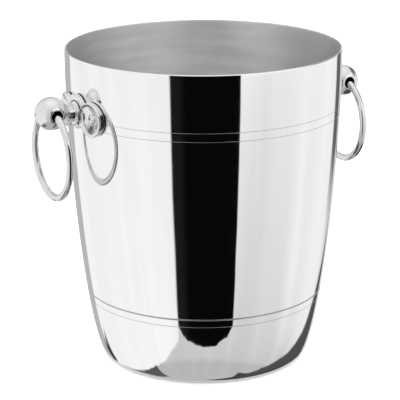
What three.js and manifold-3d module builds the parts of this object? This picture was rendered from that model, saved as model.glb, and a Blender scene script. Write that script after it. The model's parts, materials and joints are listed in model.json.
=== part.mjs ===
// Champagne bucket: a spun metal shell with two ring handles riveted to its wall.
// Millimetres, +Z up. The origin is the centre of the base's underside, and the handles lie on the X axis.

import * as THREE from "three";
import { mergeVertices } from "three/addons/utils/BufferGeometryUtils.js";
import Module from "manifold-3d";

// ---- Driving dimensions ----

// Shell
const RIM_RADIUS = 100;
const HEIGHT = 231.5;
const WALL = 1.5;
const BASE_RADIUS = 68.7;
const CORNER_RADIUS = 8.6;
const LOWER_LEAN = THREE.MathUtils.degToRad(23);
const LOWER_PULL = 36.4;
const RIM_LEAN = THREE.MathUtils.degToRad(-1.2);
const UPPER_PULL = 51.8;

// Turned lines round the wall: height, half width and depth
const TURNED_LINES = [
  { z: 47.4, halfWidth: 0.45, depth: 0.3 },
  { z: 53.1, halfWidth: 0.75, depth: 0.4 },
  { z: 185.1, halfWidth: 0.45, depth: 0.3 },
  { z: 191.2, halfWidth: 0.45, depth: 0.3 },
];

// Handles
const HANDLE_Z = 194;
const GAP = 0.3;

// Mount plate: a middle lobe under the knob and a dished lobe with a rivet on each side
const LOBE_RADIUS = 12.3;
const LOBE_HEIGHT = 4.4;
const LOBE_EDGE = 1;
const LOBE_RIM = 2.3;
const SIDE_DISH_DEPTH = 3.1;
const MIDDLE_HEIGHT = 3.8;
const MIDDLE_DISH_DEPTH = 1.6;
const SIDE_LOBE_ANGLE = THREE.MathUtils.degToRad(10.6);
const MIDDLE_LOBE_RISE = 1.4;
const SIDE_LOBE_DROP = 1.3;
const SEAT_RADIUS = 9.1;
const SEAT_HEIGHT = 0.5;

// Knob: flange, neck and ball on one axis, which starts on the floor of the middle dish
const FLANGE_RADIUS = 8.5;
const FLANGE_THICKNESS = 1.9;
const NECK_RADIUS = 5.9;
const NECK_WAIST_RADIUS = 5.5;
const BALL_RADIUS = 11.85;
const BALL_REACH = 19;
const NUB_RADIUS = 1.6;
const NUB_HEIGHT = 0.9;
const RING_HOLE_RADIUS = 4.1;

// Ring
const RING_RADIUS = 30.5;
const ROD_RADIUS = 2.65;

// Fasteners
const SHANK_RADIUS = 2;
const HOLE_RADIUS = SHANK_RADIUS + GAP;
const INSIDE = -WALL - 0.5; // the fasteners' inner ends start here, just clear of the wall's inner face
const RIVET_HEAD_RADIUS = 3.9;
const RIVET_HEAD_HEIGHT = 2;
const TAIL_RADIUS = 3.2;
const TAIL_HEIGHT = 1.2;
const BURR_RADIUS = 4.5;
const WASHER_RADIUS = 5;
const WASHER_THICKNESS = 0.8;
const SCREW_HEAD_RADIUS = 3.8;
const SCREW_HEAD_HEIGHT = 2.4;
const SCREW_REACH = 9;
const SLOT_WIDTH = 0.9;
const SLOT_DEPTH = 1.1;

// Each handle is turned round the bucket to its side. It was fitted by hand, so its knob stands a few degrees
// off square to the wall (yaw and tilt), and its ring hole is a few degrees off square to the knob (skew).
// Its front rivet, at -Y, lies to one side (-1) or the other (1) of its own X axis.
const HANDLES = [
  { name: "left", turn: Math.PI, yaw: -6, tilt: 4, skew: 4.5, front: 1 },
  { name: "right", turn: 0, yaw: 0, tilt: -4.8, skew: -2.2, front: -1 },
];

// Facets
const SHELL_SEGMENTS = 48;
const WALL_STEPS = 10;
const PLATE_SEGMENTS = 24;
const KNOB_SEGMENTS = 24;
const SMALL_SEGMENTS = 16;

// ---- Materials ----

const polishedMetal = new THREE.MeshStandardMaterial({ color: 0xdcdddf, roughness: 0.06, metalness: 1 });
const castMetal = new THREE.MeshStandardMaterial({ color: 0xd6d6d8, roughness: 0.14, metalness: 1 });
const rivetMetal = new THREE.MeshStandardMaterial({ color: 0xcfcfd1, roughness: 0.2, metalness: 1 });
const steel = new THREE.MeshStandardMaterial({ color: 0xb9bbbe, roughness: 0.3, metalness: 1 });

// ---- Solids ----

const wasm = await Module();
wasm.setup();

// A closed geometry as a solid that can be joined and cut. Triangles that close up at a pole are dropped.
function toSolid(geometry) {
  const bare = geometry.index ? geometry.toNonIndexed() : geometry.clone();
  bare.deleteAttribute("normal");
  bare.deleteAttribute("uv");
  const merged = mergeVertices(bare, 1e-4);
  const corners = merged.index.array;
  const kept = [];
  for (let i = 0; i < corners.length; i += 3) {
    const [a, b, c] = corners.slice(i, i + 3);
    if (a !== b && b !== c && c !== a) kept.push(a, b, c);
  }
  return new wasm.Manifold(
    new wasm.Mesh({
      numProp: 3,
      vertProperties: merged.attributes.position.array,
      triVerts: new Uint32Array(kept),
    }),
  );
}

function toGeometry(solid) {
  const mesh = solid.getMesh();
  const geometry = new THREE.BufferGeometry();
  geometry.setAttribute("position", new THREE.BufferAttribute(mesh.vertProperties, 3));
  geometry.setIndex(new THREE.BufferAttribute(mesh.triVerts, 1));
  const faceted = geometry.toNonIndexed();
  faceted.computeVertexNormals();
  return faceted;
}

// A turned piece on the Z axis, from its outline as [radius, z] pairs that go up the outside.
function turned(outline, segments) {
  const points = outline.map(([radius, z]) => new THREE.Vector2(radius, z));
  return new THREE.LatheGeometry(points, segments).rotateX(Math.PI / 2);
}

// The same, with its axis along +X.
function turnedAlongX(outline, segments) {
  return turned(outline, segments).rotateY(Math.PI / 2);
}

// Points of a circular arc as [radius, z] pairs, from one angle to another in degrees.
function arc(centreRadius, centreZ, radius, from, to, steps) {
  return Array.from({ length: steps + 1 }, (_, i) => {
    const angle = THREE.MathUtils.degToRad(from + ((to - from) * i) / steps);
    return [centreRadius + radius * Math.cos(angle), centreZ + radius * Math.sin(angle)];
  });
}

function addMesh(group, name, geometry, material) {
  const mesh = new THREE.Mesh(geometry, material);
  mesh.name = name;
  group.add(mesh);
}

// ---- The shell's outline ----

// The wall is one Bezier curve in the plane of radius and height, from the bottom corner to the rim.
const wallFoot = new THREE.Vector2(
  BASE_RADIUS + CORNER_RADIUS * Math.cos(LOWER_LEAN),
  CORNER_RADIUS - CORNER_RADIUS * Math.sin(LOWER_LEAN),
);
const wallTop = new THREE.Vector2(RIM_RADIUS, HEIGHT - WALL / 2);
const wallCurve = new THREE.CubicBezierCurve(
  wallFoot,
  new THREE.Vector2(Math.sin(LOWER_LEAN), Math.cos(LOWER_LEAN)).multiplyScalar(LOWER_PULL).add(wallFoot),
  new THREE.Vector2(Math.sin(RIM_LEAN), Math.cos(RIM_LEAN)).multiplyScalar(-UPPER_PULL).add(wallTop),
  wallTop,
);

// The curve's parameter at a height, by bisection: the curve only rises.
function parameterAt(z) {
  let low = 0;
  let high = 1;
  for (let i = 0; i < 40; i++) {
    const middle = (low + high) / 2;
    if (wallCurve.getPoint(middle).y < z) low = middle;
    else high = middle;
  }
  return (low + high) / 2;
}

function wallRadius(z) {
  return wallCurve.getPoint(parameterAt(z)).x;
}

// How far the wall leans out from upright at a height, in radians.
function wallLean(z) {
  const tangent = wallCurve.getTangent(parameterAt(z));
  return Math.atan2(tangent.x, tangent.y);
}

// A point of the wall moved square to it by a distance, outwards when positive.
function wallPoint(t, offset) {
  const point = wallCurve.getPoint(t);
  const tangent = wallCurve.getTangent(t);
  return [point.x + tangent.y * offset, point.y - tangent.x * offset];
}

function lineNotch({ z, halfWidth, depth }) {
  return [
    wallPoint(parameterAt(z - halfWidth), 0),
    wallPoint(parameterAt(z), -depth),
    wallPoint(parameterAt(z + halfWidth), 0),
  ];
}

// ---- Bucket body ----

function bucketOutline() {
  const leanDegrees = THREE.MathUtils.radToDeg(LOWER_LEAN);
  const bareOutside = Array.from({ length: WALL_STEPS }, (_, i) => wallPoint((i + 1) / WALL_STEPS, 0));
  const clear = bareOutside.filter(([, z]) =>
    TURNED_LINES.every((line) => Math.abs(line.z - z) > 2 * line.halfWidth),
  );
  const outside = [...clear, ...TURNED_LINES.flatMap(lineNotch)].sort((a, b) => a[1] - b[1]);
  const inside = Array.from({ length: WALL_STEPS }, (_, i) => wallPoint(1 - (i + 1) / WALL_STEPS, -WALL));
  const outerCorner = arc(BASE_RADIUS, CORNER_RADIUS, CORNER_RADIUS, -90, -leanDegrees, 5);
  const innerCorner = arc(BASE_RADIUS, CORNER_RADIUS, CORNER_RADIUS - WALL, -leanDegrees, -90, 4);
  const lip = arc(RIM_RADIUS - WALL / 2, HEIGHT - WALL / 2, WALL / 2, 0, 180, 4);
  return [
    [0, 0],
    ...outerCorner,
    ...outside.slice(0, -1),
    ...lip,
    ...inside.slice(0, -1),
    ...innerCorner,
    [0, WALL],
  ];
}

// The frame of a place on the wall: its X axis points straight out of the wall.
function wallFrame(angle, z) {
  return new THREE.Matrix4()
    .makeRotationZ(angle)
    .multiply(new THREE.Matrix4().makeTranslation(wallRadius(z), 0, z))
    .multiply(new THREE.Matrix4().makeRotationY(wallLean(z)));
}

// Where a handle's three fasteners go through the wall, in the handle's own frame.
function sideFrame(side) {
  return wallFrame(side * SIDE_LOBE_ANGLE, HANDLE_Z - SIDE_LOBE_DROP);
}
const middleFrame = wallFrame(0, HANDLE_Z);
const fastenerFrames = [sideFrame(-1), middleFrame, sideFrame(1)];

// A plain cylinder along +X.
function rod(radius, from, to, segments = SMALL_SEGMENTS) {
  return turnedAlongX(
    [
      [0, from],
      [radius, from],
      [radius, to],
      [0, to],
    ],
    segments,
  );
}

function bucketBody() {
  let body = toSolid(turned(bucketOutline(), SHELL_SEGMENTS));
  for (const { turn } of HANDLES) {
    const handleTurn = new THREE.Matrix4().makeRotationZ(turn);
    for (const frame of fastenerFrames) {
      const cutter = rod(HOLE_RADIUS, -3 * WALL, 2 * WALL);
      body = body.subtract(toSolid(cutter.applyMatrix4(frame).applyMatrix4(handleTurn)));
    }
  }
  return toGeometry(body);
}

// ---- Mount plate ----

// A round lobe with a raised, rounded rim round a dish, from below the wall's surface outwards.
function lobe(height, dishDepth) {
  const dishRadius = LOBE_RADIUS - LOBE_RIM;
  const floor = height - dishDepth;
  return turnedAlongX(
    [
      [0, -LOBE_EDGE],
      [LOBE_RADIUS, -LOBE_EDGE],
      ...arc(LOBE_RADIUS - LOBE_EDGE, height - LOBE_EDGE, LOBE_EDGE, 0, 90, 3),
      [dishRadius + 0.3 * LOBE_RIM, height - 0.1],
      [dishRadius - 1, floor + 0.5 * dishDepth],
      [dishRadius - 2.8, floor + 0.15 * dishDepth],
      [dishRadius - 5, floor],
      [0, floor],
    ],
    PLATE_SEGMENTS,
  );
}

// The space that the shell takes behind a plate, with a small gap.
function wallCutter() {
  const rows = 7;
  const low = parameterAt(HANDLE_Z - 2 * LOBE_RADIUS);
  const high = parameterAt(HANDLE_Z + 2 * LOBE_RADIUS);
  const face = Array.from({ length: rows }, (_, i) => wallPoint(low + ((high - low) * i) / (rows - 1), GAP));
  return turned([[0, face[0][1]], ...face, [0, face[rows - 1][1]]], SHELL_SEGMENTS);
}

// The plate's back follows the wall, and its middle has a flat seat square to the knob.
function mountPlate(knobFrame) {
  const middle = wallFrame(0, HANDLE_Z + MIDDLE_LOBE_RISE);
  let plate = toSolid(lobe(MIDDLE_HEIGHT, MIDDLE_DISH_DEPTH).applyMatrix4(middle));
  for (const side of [-1, 1]) {
    plate = plate.add(toSolid(lobe(LOBE_HEIGHT, SIDE_DISH_DEPTH).applyMatrix4(sideFrame(side))));
  }
  const seat = rod(SEAT_RADIUS, -MIDDLE_DISH_DEPTH, SEAT_HEIGHT).applyMatrix4(knobFrame);
  const spotFace = rod(SEAT_RADIUS, SEAT_HEIGHT, LOBE_HEIGHT).applyMatrix4(knobFrame);
  plate = plate.add(toSolid(seat)).subtract(toSolid(spotFace)).subtract(toSolid(wallCutter()));
  for (const frame of fastenerFrames) {
    plate = plate.subtract(toSolid(rod(HOLE_RADIUS, -LOBE_EDGE, 2 * LOBE_HEIGHT).applyMatrix4(frame)));
  }
  return toGeometry(plate);
}

// ---- Knob ----

function knobOutline() {
  const flangeBack = SEAT_HEIGHT + GAP;
  const flangeFront = flangeBack + FLANGE_THICKNESS;
  const edge = FLANGE_THICKNESS / 2;
  const neckAngle = THREE.MathUtils.radToDeg(Math.asin(NECK_RADIUS / BALL_RADIUS));
  const nubAngle = THREE.MathUtils.radToDeg(Math.asin(NUB_RADIUS / BALL_RADIUS));
  const ball = arc(0, BALL_REACH, BALL_RADIUS, neckAngle - 90, 90 - nubAngle, 12);
  const waistZ = (flangeFront + ball[0][1]) / 2;
  return [
    [0, flangeBack],
    ...arc(FLANGE_RADIUS - edge, flangeBack + edge, edge, -90, 90, 4),
    [NECK_RADIUS + 0.3, flangeFront],
    [NECK_WAIST_RADIUS, waistZ],
    ...ball,
    [NUB_RADIUS, BALL_REACH + BALL_RADIUS + 0.6 * NUB_HEIGHT],
    [0.6 * NUB_RADIUS, BALL_REACH + BALL_RADIUS + NUB_HEIGHT],
    [0, BALL_REACH + BALL_RADIUS + NUB_HEIGHT],
  ];
}

function knob(knobFrame, skewAngle) {
  const body = toSolid(turnedAlongX(knobOutline(), KNOB_SEGMENTS).applyMatrix4(knobFrame));
  const ringHole = rod(RING_HOLE_RADIUS, -2 * BALL_RADIUS, 2 * BALL_RADIUS, KNOB_SEGMENTS);
  ringHole.rotateZ(Math.PI / 2 + skewAngle).translate(BALL_REACH, 0, 0).applyMatrix4(knobFrame);
  const screwHole = rod(HOLE_RADIUS, 0, SCREW_REACH + 1).applyMatrix4(middleFrame);
  return toGeometry(body.subtract(toSolid(ringHole)).subtract(toSolid(screwHole)));
}

// ---- Ring ----

// The ring hangs with its rod a small gap above the lower lips of the ball's hole.
function ringDrop() {
  const lip = Math.sqrt(BALL_RADIUS ** 2 - RING_HOLE_RADIUS ** 2);
  const rodAtLip = RING_HOLE_RADIUS - ROD_RADIUS - GAP;
  return rodAtLip + Math.sqrt(RING_RADIUS ** 2 - lip ** 2);
}

function ring() {
  return new THREE.TorusGeometry(RING_RADIUS, ROD_RADIUS, 10, 44).rotateY(Math.PI / 2);
}

// ---- Fasteners, in the frame of their place on the wall ----

function rivet() {
  const floor = LOBE_HEIGHT - SIDE_DISH_DEPTH + GAP;
  const dome = RIVET_HEAD_HEIGHT;
  const tailBase = INSIDE - WASHER_THICKNESS - GAP;
  return turnedAlongX(
    [
      [0, tailBase - TAIL_HEIGHT],
      [0.65 * TAIL_RADIUS, tailBase - 0.85 * TAIL_HEIGHT],
      [TAIL_RADIUS, tailBase - 0.3 * TAIL_HEIGHT],
      [TAIL_RADIUS, tailBase],
      [SHANK_RADIUS, tailBase],
      [SHANK_RADIUS, floor],
      [RIVET_HEAD_RADIUS, floor],
      [0.94 * RIVET_HEAD_RADIUS, floor + 0.4 * dome],
      [0.72 * RIVET_HEAD_RADIUS, floor + 0.74 * dome],
      [0.4 * RIVET_HEAD_RADIUS, floor + 0.94 * dome],
      [0, floor + dome],
    ],
    SMALL_SEGMENTS,
  );
}

function washer(radius) {
  return turnedAlongX(
    [
      [HOLE_RADIUS, INSIDE - WASHER_THICKNESS],
      [radius, INSIDE - WASHER_THICKNESS],
      [radius, INSIDE],
      [HOLE_RADIUS, INSIDE],
      [HOLE_RADIUS, INSIDE - WASHER_THICKNESS],
    ],
    SMALL_SEGMENTS,
  );
}

function screw() {
  const seat = INSIDE - WASHER_THICKNESS - GAP;
  const top = seat - SCREW_HEAD_HEIGHT;
  const body = turnedAlongX(
    [
      [0, top],
      [0.55 * SCREW_HEAD_RADIUS, top + 0.1 * SCREW_HEAD_HEIGHT],
      [0.9 * SCREW_HEAD_RADIUS, top + 0.4 * SCREW_HEAD_HEIGHT],
      [SCREW_HEAD_RADIUS, top + 0.75 * SCREW_HEAD_HEIGHT],
      [SCREW_HEAD_RADIUS, seat],
      [SHANK_RADIUS, seat],
      [SHANK_RADIUS, SCREW_REACH],
      [0, SCREW_REACH],
    ],
    SMALL_SEGMENTS,
  );
  const slot = new THREE.BoxGeometry(2 * SLOT_DEPTH, SLOT_WIDTH, 3 * SCREW_HEAD_RADIUS).translate(top, 0, 0);
  return toGeometry(toSolid(body).subtract(toSolid(slot)));
}

// ---- Assembly ----

function handle({ name, turn, yaw, tilt, skew, front }) {
  const group = new THREE.Group();
  group.rotation.z = turn;
  const yawAngle = THREE.MathUtils.degToRad(yaw);
  const tiltAngle = THREE.MathUtils.degToRad(tilt);
  const skewAngle = THREE.MathUtils.degToRad(skew);
  const foot = new THREE.Vector3(wallRadius(HANDLE_Z) + MIDDLE_HEIGHT - MIDDLE_DISH_DEPTH, 0, HANDLE_Z);
  const knobTurn = new THREE.Euler(0, -tiltAngle, yawAngle, "ZYX");
  const knobFrame = new THREE.Matrix4().makeRotationFromEuler(knobTurn).setPosition(foot);

  addMesh(group, `${name}_mount_plate`, mountPlate(knobFrame), castMetal);
  addMesh(group, `${name}_knob`, knob(knobFrame, skewAngle), castMetal);

  const ringGroup = new THREE.Group();
  ringGroup.position.set(BALL_REACH, 0, 0).applyMatrix4(knobFrame);
  ringGroup.position.z -= ringDrop();
  ringGroup.rotation.z = yawAngle + skewAngle;
  addMesh(ringGroup, `${name}_ring`, ring(), castMetal);
  group.add(ringGroup);

  for (const [place, side] of [["front", front], ["back", -front]]) {
    addMesh(group, `${name}_rivet_${place}`, rivet().applyMatrix4(sideFrame(side)), rivetMetal);
    const burr = washer(BURR_RADIUS).applyMatrix4(sideFrame(side));
    addMesh(group, `${name}_rivet_burr_${place}`, burr, rivetMetal);
  }
  addMesh(group, `${name}_knob_screw`, screw().applyMatrix4(middleFrame), steel);
  addMesh(group, `${name}_screw_washer`, washer(WASHER_RADIUS).applyMatrix4(middleFrame), steel);
  return group;
}

const bucket = new THREE.Group();
addMesh(bucket, "bucket_body", bucketBody(), polishedMetal);
for (const side of HANDLES) bucket.add(handle(side));

export default bucket;
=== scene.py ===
"""The champagne bucket's looks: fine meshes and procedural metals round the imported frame.

Shapes are written in millimetres, as on a drawing, and turned into metres when a mesh is made. The cast
pieces are signed distance functions: negative inside, joined and cut with small fillets, then meshed on a
grid.
"""

import json
from collections import namedtuple
from math import asin, cos, degrees, pi, radians, sin

import bmesh
import bpy
import numpy as np
from mathutils import Matrix, Vector


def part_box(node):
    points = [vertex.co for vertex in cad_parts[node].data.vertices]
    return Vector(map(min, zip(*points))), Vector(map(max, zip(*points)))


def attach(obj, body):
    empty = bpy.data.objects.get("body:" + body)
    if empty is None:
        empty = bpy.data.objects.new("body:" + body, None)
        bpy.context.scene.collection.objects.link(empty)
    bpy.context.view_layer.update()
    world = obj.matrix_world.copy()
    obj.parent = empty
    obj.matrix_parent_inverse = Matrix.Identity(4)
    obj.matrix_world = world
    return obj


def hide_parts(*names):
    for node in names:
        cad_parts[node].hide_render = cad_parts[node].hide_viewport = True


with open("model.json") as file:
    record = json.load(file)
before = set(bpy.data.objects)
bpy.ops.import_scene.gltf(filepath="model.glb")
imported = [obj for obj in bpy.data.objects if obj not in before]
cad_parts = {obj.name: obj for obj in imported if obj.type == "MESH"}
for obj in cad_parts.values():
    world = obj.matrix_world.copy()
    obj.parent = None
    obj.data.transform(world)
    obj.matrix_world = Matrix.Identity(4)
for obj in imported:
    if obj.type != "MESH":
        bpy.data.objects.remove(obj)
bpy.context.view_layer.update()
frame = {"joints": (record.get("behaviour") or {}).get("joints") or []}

MM = 0.001

# ---- Driving dimensions, in millimetres ----

RIM_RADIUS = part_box("bucket_body")[1].x / MM
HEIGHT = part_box("bucket_body")[1].z / MM
WALL = 1.5
BASE_RADIUS = 68.7
CORNER_RADIUS = 8.6
LOWER_LEAN = radians(23)
LOWER_PULL = 36.4
RIM_LEAN = radians(-1.2)
UPPER_PULL = 51.8
TURNED_LINES = [  # height, half width, depth
    (47.4, 0.2, 0.045),
    (53.1, 0.6, 0.15),
    (185.1, 0.16, 0.05),
    (191.2, 0.16, 0.05),
]

HANDLE_Z = 194
GAP = 0.3
LOBE_RADIUS = 12.3
LOBE_HEIGHT = 4.4
LOBE_EDGE = 1.1
SIDE_DISH_RADIUS = 10.2
SIDE_DISH_DEPTH = 3.1
MIDDLE_HEIGHT = 3.8
MIDDLE_DISH_DEPTH = 1.6
SIDE_LOBE_ANGLE = radians(10.6)
MIDDLE_LOBE_RISE = 1.4
SIDE_LOBE_DROP = 1.3
SEAT_RADIUS = 9.1
SEAT_HEIGHT = 0.5

FLANGE_RADIUS = 8.5
FLANGE_THICKNESS = 1.9
NECK_RADIUS = 5.9
BALL_RADIUS = 11.85
BALL_REACH = 19
NUB_RADIUS = 1.6
NUB_HEIGHT = 0.9
RING_HOLE_RADIUS = 4.1
RING_RADIUS = 30.5
ROD_RADIUS = 2.65

SHANK_RADIUS = 2
HOLE_RADIUS = SHANK_RADIUS + GAP
RIVET_HEAD_RADIUS = 3.9
RIVET_HEAD_HEIGHT = 2
TAIL_RADIUS = 3.2
TAIL_HEIGHT = 1.2
BURR_RADIUS = 4.5
WASHER_RADIUS = 5
WASHER_THICKNESS = 0.8
SCREW_HEAD_RADIUS = 3.8
SCREW_HEAD_HEIGHT = 2.4
SCREW_REACH = 9
SLOT_WIDTH = 0.9
SLOT_DEPTH = 1.1
INSIDE = -WALL - 0.5  # where the fasteners' washers sit, from the wall's outside

# Fillets between the cast shapes, and the rounding of the fasteners' edges
LOBE_FILLET = 0.8
DISH_FILLET = 1.3
SEAT_FILLET = 0.3
FLANGE_FILLET = 0.7
BALL_FILLET = 1.4
NUB_FILLET = 0.5
RING_HOLE_FILLET = 0.9
RIVET_EDGE = 0.2
WASHER_EDGE = 0.18

# How far the shapes run on before others cut or join them
LOBE_ROOT = 3
SEAT_ROOT = 4
SEAT_CLEARING = 12
NECK_ROOT = 6
NUB_ROOT = 3

# Each handle: its turn round the bucket, the yaw and tilt of its knob, the skew of the knob's ring hole, and
# the side of its own X axis on which its front rivet lies
Handle = namedtuple("Handle", "name turn yaw tilt skew front")
HANDLES = [
    Handle("left", pi, radians(-6), radians(4), radians(4.5), 1),
    Handle("right", 0, 0, radians(-4.8), radians(-2.2), -1),
]

# Camera: where it stands round the bucket, and how it is framed
CAMERA_AZIMUTH = radians(-29.5)
CAMERA_ELEVATION = radians(16.483)
CAMERA_DISTANCE = 1.3409
CAMERA_TARGET_HEIGHT = HEIGHT / 2 * MM - 0.00027
CAMERA_PAN = radians(0.125)
CAMERA_ROLL = radians(-0.186)
CAMERA_LENS = 163.66

# Grids on which the signed distances are meshed: their steps, and how far they reach round the pieces
GRID_STEP = 0.35
SCREW_GRID_STEP = 0.2
PLATE_GRID_LOW = (-8, -2.89 * LOBE_RADIUS, -15.5)
PLATE_GRID_HIGH = (7, 2.89 * LOBE_RADIUS, 16.5)
SCREW_GRID_BACK = -7

# Faces round the turned pieces
BODY_SEGMENTS = 256
RING_SEGMENTS = 200
FASTENER_SEGMENTS = 48

# Studio: tones are display greys from 0 to 255
METAL_REFLECTANCE = 0.9  # of the polished wall, by which the studio's tones are raised
ROOM_LIGHT = 2.4         # on the floor
TABLE_TONE = 184
CREASE = 3.5             # degrees by which the panels' edges wander
UNEVENNESS = (0.94, 1.04)
FLOOR_HALF_SIZE = 4.0    # metres
FLOOR_DROP = 0.0002      # metres below the bucket's base

# The dark gap between the softboxes: black cloth on the table and standing behind it, in front of the bucket.
# Its sides spread away from the bucket, its near end is rounded and its edge is ragged.
GAP_NEAR = 118
GAP_ROUNDING = 26
GAP_SPREAD = 0.532
GAP_PINCH = 23
GAP_SQUEEZE = 0.97
GAP_SHIFT = 0.065
GAP_FAR = 246
GAP_HEIGHT = 290
GAP_TONE = 8
GAP_FOLD_TONE = 26


# ---- Camera and studio ----

def make_camera():
    data = bpy.data.cameras.new("camera")
    data.sensor_width = 36
    data.lens = CAMERA_LENS
    data.clip_start = 0.05
    camera = bpy.data.objects.new("camera", data)
    bpy.context.scene.collection.objects.link(camera)
    back = Vector((
        sin(CAMERA_AZIMUTH) * cos(CAMERA_ELEVATION),
        -cos(CAMERA_AZIMUTH) * cos(CAMERA_ELEVATION),
        sin(CAMERA_ELEVATION),
    ))
    place = Vector((0, 0, CAMERA_TARGET_HEIGHT)) + CAMERA_DISTANCE * back
    turn = Matrix.Rotation(CAMERA_AZIMUTH + CAMERA_PAN, 4, "Z")
    pitch = Matrix.Rotation(pi / 2 - CAMERA_ELEVATION, 4, "X")
    camera.matrix_world = Matrix.Translation(place) @ turn @ pitch @ Matrix.Rotation(CAMERA_ROLL, 4, "Z")
    bpy.context.scene.camera = camera


def light_value(grey):
    """The linear brightness that shows as a display grey from 0 to 255."""
    share = grey / 255
    return share / 12.92 if share <= 0.04045 else ((share + 0.055) / 1.055) ** 2.4


class Nodes:
    """Short calls for building a node tree."""

    def __init__(self, tree):
        self.tree = tree

    def add(self, kind, **values):
        node = self.tree.nodes.new(kind)
        for name, value in values.items():
            setattr(node, name, value)
        return node

    def feed(self, socket, value):
        if isinstance(value, bpy.types.NodeSocket):
            self.tree.links.new(value, socket)
        else:
            socket.default_value = value

    def math(self, operation, *values):
        node = self.add("ShaderNodeMath", operation=operation)
        for socket, value in zip(node.inputs, values):
            self.feed(socket, value)
        return node.outputs[0]

    def ramp(self, value, low, high, to_low=0.0, to_high=1.0, smooth=False):
        """value from low to high, carried to to_low and to_high and held there outside."""
        node = self.add("ShaderNodeMapRange", interpolation_type="SMOOTHSTEP" if smooth else "LINEAR")
        for name, given in (
            ("Value", value), ("From Min", low), ("From Max", high), ("To Min", to_low), ("To Max", to_high),
        ):
            self.feed(node.inputs[name], given)
        return node.outputs["Result"]

    def between(self, value, low, high, edge):
        """1 where value is between low and high, 0 outside, with soft edges."""
        rising = self.ramp(value, low - edge, low + edge, smooth=True)
        falling = self.ramp(value, high + edge, high - edge, smooth=True)
        return self.math("MULTIPLY", rising, falling)

    def mix(self, share, a, b):
        node = self.add("ShaderNodeMix", data_type="FLOAT")
        for index, value in enumerate((share, a, b)):
            self.feed(node.inputs[("Factor", "A", "B")[index]], value)
        return node.outputs["Result"]

    def mix_colour(self, share, a, b):
        node = self.add("ShaderNodeMix", data_type="RGBA")
        for name, value in (("Factor", share), ("A", a), ("B", b)):
            self.feed(node.inputs[name], value)
        return node.outputs["Result"]

    def xyz(self, x, y, z):
        node = self.add("ShaderNodeCombineXYZ")
        for socket, value in zip(node.inputs, (x, y, z)):
            self.feed(socket, value)
        return node.outputs[0]

    def noise(self, vector, scale, detail=2.0, roughness=0.5):
        node = self.add("ShaderNodeTexNoise")
        self.feed(node.inputs["Vector"], vector)
        node.inputs["Scale"].default_value = scale
        node.inputs["Detail"].default_value = detail
        node.inputs["Roughness"].default_value = roughness
        return node.outputs["Fac"]


# The studio as it shows in the bucket's polish, in display greys from its lower to its upper edge. Azimuth is
# measured from the camera, positive to its right, and elevation from the horizon. Each panel covers those
# before it. Its edges are soft by the degrees in edge. It can rise with azimuth from its first side (rise, in
# degrees per degree) or bow upwards from its middle (bow, per square degree).
Panel = namedtuple("Panel", "azimuth elevation low high edge rise bow", defaults=(2, 0, 0))
STUDIO = [
    Panel((-200, 200), (-48, 95), 200, 236),                      # white tent over a pale table
    Panel((-200, 200), (24, 95), 214, 268, 12),                   # its roof
    Panel((-145, -28), (-51, 42), 246, 236, 0.5, bow=0.0032),     # softbox on the left
    Panel((28, 142), (-46, 42), 200, 274, 2),                     # softbox on the right
    Panel((85, 145), (-33, 42), 238, 248, 10),                    # its brighter far end
    Panel((-200, -143), (-31, 30), 178, 184, 2),                  # grey cloth behind on the left
    Panel((-200, -168), (-45, -17), 238, 232, 4),                 # light under that cloth
    Panel((153, 200), (-60, 30), 208, 216, 2),                    # grey cloth behind on the right
    Panel((105, 150), (12, 42), 120, 120, 8),                     # dark rail over it
    Panel((143, 156), (-18, 30), 95, 105, 2),                     # dark gap beside it
    Panel((70, 157), (-140, -57.5), 45, 78, 0.8, rise=0.45),      # table in the shade of the right softbox
    Panel((52, 72), (-84, -57), 52, 66, 0.8),                     # more of that shade on its near side
    Panel((-130, -66), (-68, -52), 95, 84, 0.8, bow=0.003),       # table in the shade of the left softbox
    Panel((-148, -136), (-37, -29), 55, 66, 1.5),                 # dark foot of the left softbox
]


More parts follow.
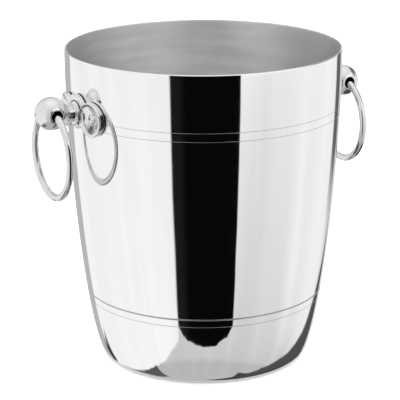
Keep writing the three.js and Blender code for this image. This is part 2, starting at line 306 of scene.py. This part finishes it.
def make_world():
    world = bpy.data.worlds.new("studio")
    bpy.context.scene.world = world
    world.use_nodes = True
    world.cycles.sampling_method = "NONE"
    world.node_tree.nodes.clear()
    n = Nodes(world.node_tree)
    direction = n.add("ShaderNodeTexCoord").outputs["Generated"]
    turned = n.add("ShaderNodeVectorRotate", rotation_type="Z_AXIS")
    n.feed(turned.inputs["Vector"], direction)
    turned.inputs["Angle"].default_value = -CAMERA_AZIMUTH
    axes = n.add("ShaderNodeSeparateXYZ")
    n.feed(axes.inputs[0], turned.outputs[0])
    x, y, z = axes.outputs
    azimuth = n.math("DEGREES", n.math("ARCTAN2", x, n.math("MULTIPLY", y, -1)))
    elevation = n.math("DEGREES", n.math("ARCSINE", z))
    cloth = n.xyz(n.math("MULTIPLY", azimuth, 0.045), n.math("MULTIPLY", elevation, 0.015), 0)
    creases = n.math("MULTIPLY", n.math("SUBTRACT", n.noise(direction, 9, 3, 0.6), 0.5), CREASE)
    tone = light_value(TABLE_TONE)
    for panel in STUDIO:
        start, stop = panel.azimuth
        low, high = panel.elevation
        middle = n.math("SUBTRACT", azimuth, (start + stop) / 2)
        lift = n.math(
            "ADD",
            n.math("MULTIPLY", n.math("SUBTRACT", azimuth, start), panel.rise),
            n.math("MULTIPLY", n.math("MULTIPLY", middle, middle), panel.bow),
        )
        height = n.math("ADD", n.math("SUBTRACT", elevation, lift), creases)
        across_panel = n.between(azimuth, start, stop, panel.edge)
        share = n.math("MULTIPLY", across_panel, n.between(height, low, high, panel.edge))
        colour = n.ramp(height, low, high, light_value(panel.low), light_value(panel.high))
        tone = n.mix(share, tone, colour)
    path = n.add("ShaderNodeLightPath")
    uneven = n.ramp(n.noise(cloth, 1, 3, 0.5), 0.3, 0.7, *UNEVENNESS)
    reflected = n.math("MULTIPLY", n.math("MULTIPLY", tone, uneven), 1 / METAL_REFLECTANCE)
    plain = n.mix(path.outputs["Is Camera Ray"], ROOM_LIGHT, 1.0)
    background = n.add("ShaderNodeBackground")
    n.feed(background.inputs["Color"], n.mix(path.outputs["Is Glossy Ray"], plain, reflected))
    n.feed(n.add("ShaderNodeOutputWorld").inputs["Surface"], background.outputs[0])


def stage_mesh(name, points, faces):
    """A mesh of the stage, with points in metres, and the node tree of its material."""
    mesh = bpy.data.meshes.new(name)
    mesh.from_pydata(points, [], faces)
    item = bpy.data.objects.new(name, mesh)
    bpy.context.scene.collection.objects.link(item)
    material = bpy.data.materials.new(name)
    material.use_nodes = True
    mesh.materials.append(material)
    return item, material.node_tree


def make_floor():
    size = FLOOR_HALF_SIZE
    corners = [(-size, -size, 0), (size, -size, 0), (size, size, 0), (-size, size, 0)]
    floor, tree = stage_mesh("floor", corners, [(0, 1, 2, 3)])
    floor.location.z = -FLOOR_DROP
    floor.visible_glossy = False
    shader = tree.nodes["Principled BSDF"]
    shader.inputs["Base Color"].default_value = (0.9, 0.9, 0.9, 1)
    shader.inputs["Roughness"].default_value = 0.9
    shader.inputs["Specular IOR Level"].default_value = 0.1


def make_gap():
    half_width = GAP_SPREAD * GAP_FAR
    points = [
        (-half_width, -GAP_NEAR, 0), (half_width, -GAP_NEAR, 0),
        (-half_width, -GAP_FAR, 0), (half_width, -GAP_FAR, 0),
        (-half_width, -GAP_FAR, GAP_HEIGHT), (half_width, -GAP_FAR, GAP_HEIGHT),
    ]
    gap, tree = stage_mesh("dark_gap", [Vector(p) * MM for p in points], [(0, 1, 3, 2), (2, 3, 5, 4)])
    gap.rotation_euler.z = CAMERA_AZIMUTH
    gap.visible_camera = False
    gap.visible_diffuse = False
    gap.visible_shadow = False
    tree.nodes.clear()
    n = Nodes(tree)
    place = n.add("ShaderNodeTexCoord").outputs["Object"]
    axes = n.add("ShaderNodeSeparateXYZ")
    n.feed(axes.inputs[0], place)
    away = n.math("MULTIPLY", axes.outputs["Y"], -1 / MM)
    aside = n.math("MULTIPLY", axes.outputs["X"], 1 / MM)
    # From -1 on the left side of the cloth to 1 on its right side.
    share = n.math("DIVIDE", aside, n.math("MULTIPLY_ADD", away, GAP_SPREAD, -GAP_PINCH))
    share = n.math("MULTIPLY_ADD", share, 1 / GAP_SQUEEZE, -GAP_SHIFT)
    # The near end is half an ellipse, and this runs from 1 at its tip to 0 where the straight sides start.
    end = n.ramp(away, GAP_NEAR, GAP_NEAR + GAP_ROUNDING, 1, 0)
    tears = n.math("SUBTRACT", n.noise(place, 70, 4, 0.65), 0.5)
    ragged = n.math("MULTIPLY", tears, n.math("MULTIPLY", end, 0.5))
    reach = n.math("SQRT", n.math("ADD", n.math("MULTIPLY", share, share), n.math("MULTIPLY", end, end)))
    cover = n.ramp(n.math("ADD", reach, ragged), 0.985, 1.015, 1, 0)
    off_centre = n.math("ABSOLUTE", n.math("SUBTRACT", share, 0.2))
    folds = n.ramp(off_centre, 0.75, 0.95, light_value(GAP_TONE), light_value(GAP_FOLD_TONE))
    glow = n.add("ShaderNodeEmission")
    n.feed(glow.inputs["Color"], folds)
    mix = n.add("ShaderNodeMixShader")
    n.feed(mix.inputs[0], cover)
    n.feed(mix.inputs[1], n.add("ShaderNodeBsdfTransparent").outputs[0])
    n.feed(mix.inputs[2], glow.outputs[0])
    n.feed(n.add("ShaderNodeOutputMaterial").inputs["Surface"], mix.outputs[0])


# ---- Metals ----

def new_metal(name, colour, roughness):
    material = bpy.data.materials.new(name)
    material.use_nodes = True
    shader = material.node_tree.nodes["Principled BSDF"]
    shader.inputs["Metallic"].default_value = 1
    shader.inputs["Base Color"].default_value = (*colour, 1)
    shader.inputs["Roughness"].default_value = roughness
    return material, shader, Nodes(material.node_tree)


def position(n):
    return n.add("ShaderNodeTexCoord").outputs["Object"]


def round_position(n, around, along):
    """A vector that changes slowly round the Z axis and quickly up and across it, as turning marks do."""
    axes = n.add("ShaderNodeSeparateXYZ")
    n.feed(axes.inputs[0], position(n))
    x, y, z = axes.outputs
    radius = n.math("SQRT", n.math("ADD", n.math("MULTIPLY", x, x), n.math("MULTIPLY", y, y)))
    safe = n.math("MAXIMUM", radius, 0.001)
    return n.xyz(
        n.math("MULTIPLY", n.math("DIVIDE", x, safe), around),
        n.math("MULTIPLY", n.math("DIVIDE", y, safe), around),
        n.math("MULTIPLY", n.math("ADD", z, radius), along),
    )


def bump(n, shader, height, distance):
    node = n.add("ShaderNodeBump")
    node.inputs["Strength"].default_value = 1
    node.inputs["Distance"].default_value = distance
    n.feed(node.inputs["Height"], height)
    n.feed(shader.inputs["Normal"], node.outputs["Normal"])


def tint(n, shader, share, dark, light):
    """Colours a shader between two colours, and returns the mixed colour."""
    colour = n.mix_colour(share, (*dark, 1), (*light, 1))
    n.feed(shader.inputs["Base Color"], colour)
    return colour


def polished_shell():
    """Mirror polished, with faint turning marks and a trace of waviness from spinning."""
    material, shader, n = new_metal("polished_shell", (0.9, 0.9, 0.905), 0.04)
    marks = n.noise(round_position(n, 3, 900), 1, 3, 0.6)
    smears = n.noise(position(n), 22, 3, 0.6)
    tint(n, shader, smears, (0.885, 0.885, 0.89), (0.91, 0.91, 0.915))
    n.feed(shader.inputs["Roughness"], n.ramp(n.math("MULTIPLY", marks, smears), 0.1, 0.45, 0.025, 0.075))
    waves = n.noise(round_position(n, 2.2, 26), 1, 1)
    bump(n, shader, n.math("ADD", n.math("MULTIPLY", waves, 1.0), n.math("MULTIPLY", marks, 0.012)), 0.00012)
    return material


def spun_inside():
    """The inside is left as spun: fine rings round the axis on a satin ground."""
    material, shader, n = new_metal("spun_inside", (0.8, 0.8, 0.8), 0.32)
    fine = n.noise(round_position(n, 4, 2600), 1, 4, 0.65)
    broad = n.noise(round_position(n, 1.5, 130), 1, 3, 0.6)
    blotches = n.noise(position(n), 14, 3, 0.6)
    mottled = n.ramp(n.math("MULTIPLY_ADD", broad, 0.6, n.math("MULTIPLY", blotches, 0.4)), 0.3, 0.7)
    axes = n.add("ShaderNodeSeparateXYZ")
    n.feed(axes.inputs[0], position(n))
    # Painted shade: the colour darkens towards the handles, from 76 mm from the middle across X.
    end_shade = n.ramp(n.math("ABSOLUTE", axes.outputs["X"]), 0.076, 0.1, 1, 0.3, smooth=True)
    tint(n, shader, n.math("MULTIPLY", mottled, end_shade), (0.76, 0.76, 0.765), (1, 1, 1))
    n.feed(shader.inputs["Roughness"], n.ramp(n.math("ADD", fine, blotches), 0.7, 1.3, 0.3, 0.46))
    shader.inputs["Anisotropic"].default_value = 0.75
    shader.inputs["Anisotropic Rotation"].default_value = 0.25
    tangent = n.add("ShaderNodeTangent", direction_type="RADIAL", axis="Z")
    n.feed(shader.inputs["Tangent"], tangent.outputs[0])
    bump(n, shader, n.math("MULTIPLY_ADD", broad, 0.6, fine), 0.00006)
    return material


def line_metal():
    """The bottoms of the turned lines, which a polishing mop doesn't reach."""
    return new_metal("turned_line", (0.5, 0.5, 0.505), 0.5)[0]


def cast_metal(name, colour, rough_low, rough_high, waviness):
    """A buffed casting: soft waves, fine pits and hairlines, and painted shade, nearly black, in crevices
    that a point attribute marks.
    """
    material, shader, n = new_metal(name, colour, rough_low)
    cloud = n.noise(position(n), 420, 4, 0.6)
    fine = n.noise(position(n), 2600, 3, 0.6)
    waves = n.noise(position(n), 210, 1)
    grime = n.add("ShaderNodeAttribute", attribute_name="grime").outputs["Fac"]
    # Painted shade: where the crevice attribute is set, the colour goes nearly black and duller, and cloud
    # noise breaks its edge.
    shade_share = n.ramp(n.math("MULTIPLY_ADD", n.math("SUBTRACT", cloud, 0.5), 0.5, grime), 0.35, 0.75, smooth=True)
    dark = tuple(0.96 * c for c in colour)
    ground = tint(n, shader, cloud, dark, colour)
    n.feed(shader.inputs["Base Color"], n.mix_colour(shade_share, ground, (0.012, 0.012, 0.013, 1)))
    sheen = n.ramp(n.math("MULTIPLY", cloud, fine), 0.12, 0.4, rough_low, rough_high)
    n.feed(shader.inputs["Roughness"], n.mix(shade_share, sheen, 0.6))
    bump(n, shader, n.math("MULTIPLY_ADD", fine, 0.03, waves), waviness)
    return material


def brushed_steel():
    material, shader, n = new_metal("brushed_steel", (0.62, 0.63, 0.64), 0.3)
    grain = n.noise(position(n), 1800, 4, 0.7)
    tint(n, shader, grain, (0.5, 0.51, 0.52), (0.66, 0.67, 0.68))
    n.feed(shader.inputs["Roughness"], n.ramp(grain, 0.3, 0.7, 0.24, 0.42))
    bump(n, shader, grain, 0.00002)
    return material


# ---- Mesh helpers ----

def new_piece(name, points, faces, materials, body, face_materials=None, sharp=40):
    """A mesh from points in millimetres, which rides on a body and stands for the CAD node of its name."""
    mesh = bpy.data.meshes.new(name)
    mesh.from_pydata((np.asarray(points) * MM).tolist(), [], [list(map(int, face)) for face in faces])
    for material in materials:
        mesh.materials.append(material)
    if face_materials is not None:
        mesh.polygons.foreach_set("material_index", np.asarray(face_materials, np.int32))
    mesh.update()
    mesh.shade_smooth()
    mesh.set_sharp_from_angle(angle=radians(sharp))
    piece = bpy.data.objects.new(name + "_fine", mesh)
    bpy.context.scene.collection.objects.link(piece)
    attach(piece, body)
    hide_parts(name)
    return piece


def transform(points, matrix):
    rows = np.array(matrix)
    return np.asarray(points) @ rows[:3, :3].T + rows[:3, 3]


def lathe(profile, segments, closed=False):
    """Points, faces and each face's row of a profile of (radius, height) pairs turned about the Z axis."""
    angles = np.arange(segments) * 2 * pi / segments
    points, rings = [], []
    for radius, z in profile:
        start = len(points)
        if radius < 1e-6:
            points.append((0, 0, z))
            rings.append([start] * segments)
        else:
            points.extend((radius * cos(a), radius * sin(a), z) for a in angles)
            rings.append(list(range(start, start + segments)))
    pairs = list(zip(rings, rings[1:] + rings[:1]))
    faces, rows = [], []
    for row, (low, high) in enumerate(pairs if closed else pairs[:-1]):
        for i in range(segments):
            j = (i + 1) % segments
            corners = [low[i], low[j], high[j], high[i]]
            face = [c for k, c in enumerate(corners) if c != corners[k - 1]]
            if len(face) > 2:
                faces.append(face)
                rows.append(row)
    return np.array(points), faces, rows


# Turns the Z axis of a lathe to +X.
Z_TO_X = Matrix.Rotation(pi / 2, 4, "Y")


def arc(centre_radius, centre_z, radius, start, stop, steps):
    angles = np.radians(np.linspace(start, stop, steps + 1))
    return [(centre_radius + radius * cos(a), centre_z + radius * sin(a)) for a in angles]


def softened(profile, radius=0.25, steps=3):
    """The profile with its inner corners rounded by about a radius, so that edges catch the light."""
    points = [np.array(p, float) for p in profile]
    made = [tuple(points[0])]
    for before, corner, after in zip(points, points[1:], points[2:]):
        back, on = before - corner, after - corner
        reach = min(radius, 0.45 * np.linalg.norm(back), 0.45 * np.linalg.norm(on))
        start = corner + back / np.linalg.norm(back) * reach
        stop = corner + on / np.linalg.norm(on) * reach
        for i in range(steps + 1):
            t = i / steps
            made.append(tuple((1 - t) ** 2 * start + 2 * t * (1 - t) * corner + t * t * stop))
    made.append(tuple(points[-1]))
    return made


# ---- The wall's curve ----

FOOT = np.array([
    BASE_RADIUS + CORNER_RADIUS * cos(LOWER_LEAN),
    CORNER_RADIUS - CORNER_RADIUS * sin(LOWER_LEAN),
])
TOP = np.array([RIM_RADIUS, HEIGHT - WALL / 2])
PULLS = (
    FOOT + LOWER_PULL * np.array([sin(LOWER_LEAN), cos(LOWER_LEAN)]),
    TOP - UPPER_PULL * np.array([sin(RIM_LEAN), cos(RIM_LEAN)]),
)
CURVE_T = np.linspace(0, 1, 401)[:, None]
CURVE = (
    (1 - CURVE_T) ** 3 * FOOT
    + 3 * (1 - CURVE_T) ** 2 * CURVE_T * PULLS[0]
    + 3 * (1 - CURVE_T) * CURVE_T**2 * PULLS[1]
    + CURVE_T**3 * TOP
)
CURVE_LEAN = np.arctan2(np.gradient(CURVE[:, 0]), np.gradient(CURVE[:, 1]))


def wall_radius(z):
    return np.interp(z, CURVE[:, 1], CURVE[:, 0])


def wall_lean(z):
    return np.interp(z, CURVE[:, 1], CURVE_LEAN)


def wall_point(z, offset):
    lean = wall_lean(z)
    return (float(wall_radius(z) + cos(lean) * offset), float(z - sin(lean) * offset))


def wall_frame(angle, z):
    """The frame of a place on the wall, with its X axis straight out of it."""
    out = Matrix.Rotation(angle, 4, "Z") @ Matrix.Translation((float(wall_radius(z)), 0, z))
    return out @ Matrix.Rotation(float(wall_lean(z)), 4, "Y")


MIDDLE_FRAME = wall_frame(0, HANDLE_Z)


def side_frame(side):
    return wall_frame(side * SIDE_LOBE_ANGLE, HANDLE_Z - SIDE_LOBE_DROP)


# ---- Bucket body ----

def groove_depth(z):
    """How deep the turned lines lie below the wall's surface at a height."""
    depth = 0.0
    for line_z, half_width, line_depth in TURNED_LINES:
        reach = abs(z - line_z) / half_width
        if reach < 1:
            depth += line_depth * (0.5 + 0.5 * cos(pi * reach))
    return depth


def bucket_body(materials):
    # Rows of the outside, which lie close together across the turned lines.
    heights = set(np.linspace(FOOT[1], TOP[1], 150)[1:-1])
    for line_z, half_width, _ in TURNED_LINES:
        heights = {z for z in heights if abs(z - line_z) > 1.3 * half_width}
        heights |= set(line_z + half_width * np.linspace(-1.2, 1.2, 15))
    lean = degrees(LOWER_LEAN)
    outside = [(0, 0), (BASE_RADIUS / 2, 0), (BASE_RADIUS, 0)]
    outside += arc(BASE_RADIUS, CORNER_RADIUS, CORNER_RADIUS, -90, -lean, 24)[1:]
    outside += [wall_point(z, -groove_depth(z)) for z in sorted(heights)]
    outside += arc(RIM_RADIUS - WALL / 2, HEIGHT - WALL / 2, WALL / 2, 0, 90, 6)
    inside = arc(RIM_RADIUS - WALL / 2, HEIGHT - WALL / 2, WALL / 2, 90, 180, 6)[1:]
    inside += [wall_point(z, -WALL) for z in np.linspace(TOP[1], FOOT[1], 110)[1:]]
    inside += arc(BASE_RADIUS, CORNER_RADIUS, CORNER_RADIUS - WALL, -lean, -90, 18)[1:]
    inside += [(BASE_RADIUS * share, WALL) for share in (0.75, 0.5, 0.25)] + [(0, WALL)]
    profile = outside + inside
    points, faces, rows = lathe(profile, BODY_SEGMENTS)
    lip_row = len(outside) + 2

    # Which of the three materials a row of faces has: polished, inside or turned line.
    def finish(row):
        if row >= lip_row:
            return 1
        return 2 if groove_depth((profile[row][1] + profile[row + 1][1]) / 2) > 0 else 0

    piece = new_piece("bucket_body", points, faces, materials, "bucket",
                      [finish(row) for row in rows], sharp=60)
    cut_holes(piece)
    return piece


def cut_holes(piece):
    """Drills the wall for the fasteners of both handles."""
    cutter = bmesh.new()
    for handle in HANDLES:
        for place in (side_frame(-1), MIDDLE_FRAME, side_frame(1)):
            matrix = Matrix.Scale(MM, 4) @ Matrix.Rotation(handle.turn, 4, "Z") @ place @ Z_TO_X
            bmesh.ops.create_cone(
                cutter, cap_ends=True, segments=32, radius1=HOLE_RADIUS, radius2=HOLE_RADIUS,
                depth=6 * WALL, matrix=matrix,
            )
    mesh = bpy.data.meshes.new("holes")
    cutter.to_mesh(mesh)
    cutter.free()
    holes = bpy.data.objects.new("holes", mesh)
    bpy.context.scene.collection.objects.link(holes)
    modifier = piece.modifiers.new("holes", "BOOLEAN")
    modifier.operation = "DIFFERENCE"
    modifier.solver = "EXACT"
    modifier.object = holes
    bpy.context.view_layer.update()
    cut = bpy.data.meshes.new_from_object(piece.evaluated_get(bpy.context.evaluated_depsgraph_get()))
    piece.modifiers.clear()
    piece.data = cut
    bpy.data.objects.remove(holes)


# ---- Signed distances ----

def smooth_min(a, b, fillet):
    share = np.clip(0.5 + 0.5 * (b - a) / fillet, 0, 1)
    return b + (a - b) * share - fillet * share * (1 - share)


def smooth_max(a, b, fillet):
    return -smooth_min(-a, -b, fillet)


def across(p):
    """Distance of points from the X axis."""
    return np.hypot(p[:, 1], p[:, 2])


def round_disc(p, radius, low, high, edge):
    """A disc on the X axis from low to high, with rounded edges."""
    dx = np.abs(p[:, 0] - (low + high) / 2) - (high - low) / 2 + edge
    dr = across(p) - radius + edge
    return np.hypot(np.maximum(dx, 0), np.maximum(dr, 0)) + np.minimum(np.maximum(dx, dr), 0) - edge


def surface(distance, low, high, step=GRID_STEP):
    """Points and quads of the surface where distance is zero, one point to each grid cell that it crosses."""
    axes = [np.arange(a, b + step, step) for a, b in zip(low, high)]
    shape = tuple(len(axis) for axis in axes)
    grid = np.stack(np.meshgrid(*axes, indexing="ij"), -1)
    value = distance(grid.reshape(-1, 3)).reshape(shape)
    inside = value < 0
    cells = tuple(n - 1 for n in shape)
    total, count = np.zeros(cells + (3,)), np.zeros(cells)
    for axis in range(3):
        others = [k for k in range(3) if k != axis]
        near = [slice(None)] * 3
        far = [slice(None)] * 3
        near[axis], far[axis] = slice(0, -1), slice(1, None)
        v0, v1 = value[tuple(near)], value[tuple(far)]
        crossed = inside[tuple(near)] != inside[tuple(far)]
        share = np.where(crossed, v0 / np.where(crossed, v0 - v1, 1), 0)
        crossing = grid[tuple(near)].copy()
        crossing[..., axis] += share * step
        for a in (0, 1):
            for b in (0, 1):
                pick = [slice(None)] * 3
                pick[others[0]] = slice(a, a + cells[others[0]])
                pick[others[1]] = slice(b, b + cells[others[1]])
                hit = crossed[tuple(pick)]
                total[hit] += crossing[tuple(pick)][hit]
                count[hit] += 1
    used = count > 0
    index = -np.ones(cells, int)
    index[used] = np.arange(used.sum())
    points = total[used] / count[used][:, None]
    faces = []
    for axis in range(3):
        u, v = (axis + 1) % 3, (axis + 2) % 3
        near = [slice(1, -1)] * 3
        far = [slice(1, -1)] * 3
        near[axis], far[axis] = slice(0, -1), slice(1, None)
        crossed = np.argwhere(inside[tuple(near)] != inside[tuple(far)])
        if not len(crossed):
            continue
        cell = crossed + 1
        cell[:, axis] -= 1
        corners = []
        for du, dv in ((1, 1), (0, 1), (0, 0), (1, 0)):
            at = cell.copy()
            at[:, u] -= du
            at[:, v] -= dv
            corners.append(index[at[:, 0], at[:, 1], at[:, 2]])
        quads = np.stack(corners, 1)
        leaving = inside[cell[:, 0], cell[:, 1], cell[:, 2]]
        quads[~leaving] = quads[~leaving][:, ::-1]
        faces.append(quads)
    for _ in range(4):
        points = points - towards(distance, points, step)
    return points, np.concatenate(faces)


def towards(distance, points, step):
    """The short move that brings points onto the surface."""
    reach = 0.02
    value = distance(points)
    slope = np.stack(
        [(distance(points + reach * e) - distance(points - reach * e)) / (2 * reach) for e in np.eye(3)], 1
    )
    length = np.maximum(np.linalg.norm(slope, axis=1), 0.2)[:, None]
    return np.clip(value[:, None] / length, -step, step) * slope / length


# ---- Handles ----

def to_local(points, matrix):
    return transform(points, matrix.inverted())


def lobe(p, height, dish_radius, dish_depth):
    """A round lobe with a rounded rim round a dish, standing on the wall."""
    body = round_disc(p, LOBE_RADIUS, -LOBE_ROOT, height, LOBE_EDGE)
    bowl = (dish_radius**2 + dish_depth**2) / (2 * dish_depth)
    dish = np.hypot(p[:, 0] - height + dish_depth - bowl, across(p)) - bowl
    return smooth_max(body, -dish, DISH_FILLET)


def hole(p, radius):
    return across(p) - radius


def fading(distance, stop, width):
    """1 until distance is within width of stop, falling to 0 there."""
    return np.clip((stop - distance) / width, 0, 1)


def off_wall(p):
    """Distance of points from the wall's outside, by its lean at their height."""
    return (np.hypot(p[:, 0], p[:, 1]) - wall_radius(p[:, 2])) * np.cos(wall_lean(p[:, 2]))


def mount_plate(knob_frame):
    """The plate under a knob: three dished lobes run together. Painted shade lies along its foot on the wall.
    """
    middle = wall_frame(0, HANDLE_Z + MIDDLE_LOBE_RISE)

    def distance(p):
        d = lobe(to_local(p, middle), MIDDLE_HEIGHT, SIDE_DISH_RADIUS, MIDDLE_DISH_DEPTH)
        for side in (-1, 1):
            side_lobe = lobe(to_local(p, side_frame(side)), LOBE_HEIGHT, SIDE_DISH_RADIUS, SIDE_DISH_DEPTH)
            d = smooth_min(d, side_lobe, LOBE_FILLET)
        at_knob = to_local(p, knob_frame)
        d = smooth_min(d, round_disc(at_knob, SEAT_RADIUS, -SEAT_ROOT, SEAT_HEIGHT, 0.2), SEAT_FILLET)
        d = smooth_max(d, -round_disc(at_knob, SEAT_RADIUS, SEAT_HEIGHT, SEAT_CLEARING, 0.2), SEAT_FILLET)
        d = smooth_max(d, GAP - off_wall(p), LOBE_FILLET)
        for place in (side_frame(-1), MIDDLE_FRAME, side_frame(1)):
            d = np.maximum(d, -hole(to_local(p, place), HOLE_RADIUS))
        return d

    centre = np.array([wall_radius(HANDLE_Z), 0, HANDLE_Z])
    points, faces = surface(distance, centre + PLATE_GRID_LOW, centre + PLATE_GRID_HIGH)
    # The painted shade along the plate's foot fades out between 0.45 and 1.05 mm off the wall.
    return points, faces, fading(off_wall(points), 1.05, 0.6)


def knob(knob_frame, skew):
    """A ball on a flanged neck, drilled for the ring. Painted shade lies in the hole and in the seam at its
    foot.
    """
    back = SEAT_HEIGHT + GAP
    tip = BALL_REACH + BALL_RADIUS
    drill = Matrix.Translation((BALL_REACH, 0, 0)) @ Matrix.Rotation(skew, 4, "Z")

    def distance(p):
        ball = np.hypot(p[:, 0] - BALL_REACH, across(p)) - BALL_RADIUS
        neck = round_disc(p, NECK_RADIUS, back, BALL_REACH - NECK_ROOT, 0.3)
        flange = round_disc(p, FLANGE_RADIUS, back, back + FLANGE_THICKNESS, FLANGE_THICKNESS / 2 - 0.05)
        d = smooth_min(smooth_min(neck, flange, FLANGE_FILLET), ball, BALL_FILLET)
        d = smooth_min(d, round_disc(p, NUB_RADIUS, tip - NUB_ROOT, tip + NUB_HEIGHT, 0.5), NUB_FILLET)
        at_hole = to_local(p, drill)
        through = np.hypot(at_hole[:, 0], at_hole[:, 2]) - RING_HOLE_RADIUS
        d = smooth_max(d, -through, RING_HOLE_FILLET)
        screw_hole = np.maximum(hole(p, HOLE_RADIUS), p[:, 0] - SCREW_REACH - 1)
        return np.maximum(d, -screw_hole)

    reach = BALL_RADIUS + 1
    points, faces = surface(distance, (0, -reach, -reach), (tip + 2, reach, reach))
    at_hole = to_local(points, drill)
    # Painted shade in the ring hole, away from its mouths, and in the seam at the knob's foot.
    in_hole = fading(np.hypot(at_hole[:, 0], at_hole[:, 2]), RING_HOLE_RADIUS + 0.7, 0.6)
    in_hole *= np.abs(at_hole[:, 1]) < BALL_RADIUS - 1.2
    seam = fading(points[:, 0], back + 0.6, 0.4)
    return transform(points, knob_frame), faces, np.maximum(in_hole, seam)


def set_crevice_shade(piece, values):
    attribute = piece.data.attributes.new("grime", "FLOAT", "POINT")
    attribute.data.foreach_set("value", np.asarray(values, np.float32))


def ring(name, joint):
    """A round rod closed to a ring. Its hinge axis lies in its own plane."""
    low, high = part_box(name)
    centre = (low + high) / 2 / MM
    axis = Vector(joint["axis"])
    side = axis.cross(Vector((0, 0, 1)))
    points, faces, _ = lathe(arc(RING_RADIUS, 0, ROD_RADIUS, 0, 360, 32)[:-1], RING_SEGMENTS, closed=True)
    frame_matrix = Matrix((side, axis, Vector((0, 0, 1)))).transposed().to_4x4()
    turned = Matrix.Translation(centre) @ frame_matrix @ Z_TO_X
    return transform(points, turned), faces


def rivet_profile():
    """A domed head in the lobe's dish, a shank through the wall and an end set over its burr."""
    floor = LOBE_HEIGHT - SIDE_DISH_DEPTH + GAP
    tail = INSIDE - WASHER_THICKNESS - GAP
    crown = (RIVET_HEAD_RADIUS**2 + RIVET_HEAD_HEIGHT**2) / (2 * RIVET_HEAD_HEIGHT)
    opening = degrees(asin((RIVET_HEAD_RADIUS - 0.25) / crown))
    head = arc(0, floor + RIVET_HEAD_HEIGHT - crown, crown, 90 - opening, 90, 12)
    set_end = arc(0, tail + TAIL_HEIGHT, 2.4 * TAIL_HEIGHT, -90, -35, 8)
    set_end = [(r * TAIL_RADIUS / set_end[-1][0], z) for r, z in set_end]
    under_tail = softened([set_end[-1], (TAIL_RADIUS, tail), (SHANK_RADIUS, tail)], RIVET_EDGE)
    under_head = softened(
        [(SHANK_RADIUS, tail), (SHANK_RADIUS, floor), (RIVET_HEAD_RADIUS, floor), head[0]],
        RIVET_EDGE,
    )
    return [(0, set_end[0][1])] + set_end[1:] + under_tail[1:] + under_head[1:] + head[1:]


def washer_profile(radius):
    back, front = INSIDE - WASHER_THICKNESS, INSIDE
    start = ((HOLE_RADIUS + radius) / 2, back)
    corners = [(radius, back), (radius, front), (HOLE_RADIUS, front), (HOLE_RADIUS, back)]
    return softened([start, *corners, start], WASHER_EDGE)[:-1]


def screw(p):
    """A slotted pan-head screw on the X axis, its head towards -X."""
    seat = INSIDE - WASHER_THICKNESS - GAP
    top = seat - SCREW_HEAD_HEIGHT
    crown = (SCREW_HEAD_RADIUS**2 + SCREW_HEAD_HEIGHT**2) / (2 * SCREW_HEAD_HEIGHT) * 1.25
    head = smooth_max(
        round_disc(p, SCREW_HEAD_RADIUS, top, seat, 0.25),
        np.hypot(p[:, 0] - top - crown, across(p)) - crown,
        0.6,
    )
    shank = round_disc(p, SHANK_RADIUS, seat - 1, SCREW_REACH, 0.3)
    slot = np.maximum(np.abs(p[:, 1]) - SLOT_WIDTH / 2, p[:, 0] - top - SLOT_DEPTH)
    return smooth_max(np.minimum(head, shank), -slot, 0.12)


def make_handle(handle, cast, rod_metal, rivet_metal, steel, joint):
    round_bucket = Matrix.Rotation(handle.turn, 4, "Z")
    foot = Vector((float(wall_radius(HANDLE_Z)) + MIDDLE_HEIGHT - MIDDLE_DISH_DEPTH, 0, HANDLE_Z))
    yaw = Matrix.Rotation(handle.yaw, 4, "Z")
    knob_frame = Matrix.Translation(foot) @ yaw @ Matrix.Rotation(-handle.tilt, 4, "Y")

    def fixed_piece(part, points, faces, matrix, metal):
        name = f"{handle.name}_{part}"
        return new_piece(name, transform(points, matrix), faces, [metal], "bucket")

    points, faces, grime = mount_plate(knob_frame)
    plate = fixed_piece("mount_plate", points, faces, round_bucket, cast)
    set_crevice_shade(plate, grime)
    points, faces, grime = knob(knob_frame, handle.skew)
    knob_piece = fixed_piece("knob", points, faces, round_bucket, cast)
    set_crevice_shade(knob_piece, grime)
    points, faces = ring(f"{handle.name}_ring", joint)
    new_piece(f"{handle.name}_ring", points, faces, [rod_metal], f"{handle.name}_ring_body")

    for place, side in (("front", handle.front), ("back", -handle.front)):
        matrix = round_bucket @ side_frame(side) @ Z_TO_X
        points, faces, _ = lathe(rivet_profile(), FASTENER_SEGMENTS)
        fixed_piece(f"rivet_{place}", points, faces, matrix, rivet_metal)
        points, faces, _ = lathe(washer_profile(BURR_RADIUS), FASTENER_SEGMENTS, closed=True)
        fixed_piece(f"rivet_burr_{place}", points, faces, matrix, rivet_metal)

    matrix = round_bucket @ MIDDLE_FRAME
    points, faces, _ = lathe(washer_profile(WASHER_RADIUS), FASTENER_SEGMENTS, closed=True)
    fixed_piece("screw_washer", points, faces, matrix @ Z_TO_X, steel)
    reach = SCREW_HEAD_RADIUS + 1
    low, high = (SCREW_GRID_BACK, -reach, -reach), (SCREW_REACH + 1, reach, reach)
    points, faces = surface(screw, low, high, SCREW_GRID_STEP)
    fixed_piece("knob_screw", points, faces, matrix, steel)


# ---- The scene ----

bpy.context.scene.view_settings.view_transform = "Standard"
make_camera()
make_world()
make_floor()
make_gap()

bucket_body([polished_shell(), spun_inside(), line_metal()])
CAST = cast_metal("cast_handle_metal", (0.79, 0.79, 0.795), 0.08, 0.24, 0.00014)
ROD = cast_metal("ring_metal", (0.75, 0.75, 0.755), 0.08, 0.16, 0.00005)
RIVET = cast_metal("rivet_metal", (0.74, 0.74, 0.745), 0.1, 0.22, 0.00008)
STEEL = brushed_steel()
joints = {joint["name"]: joint for joint in frame["joints"]}
for handle in HANDLES:
    make_handle(handle, CAST, ROD, RIVET, STEEL, joints[f"{handle.name}_ring_swing"])
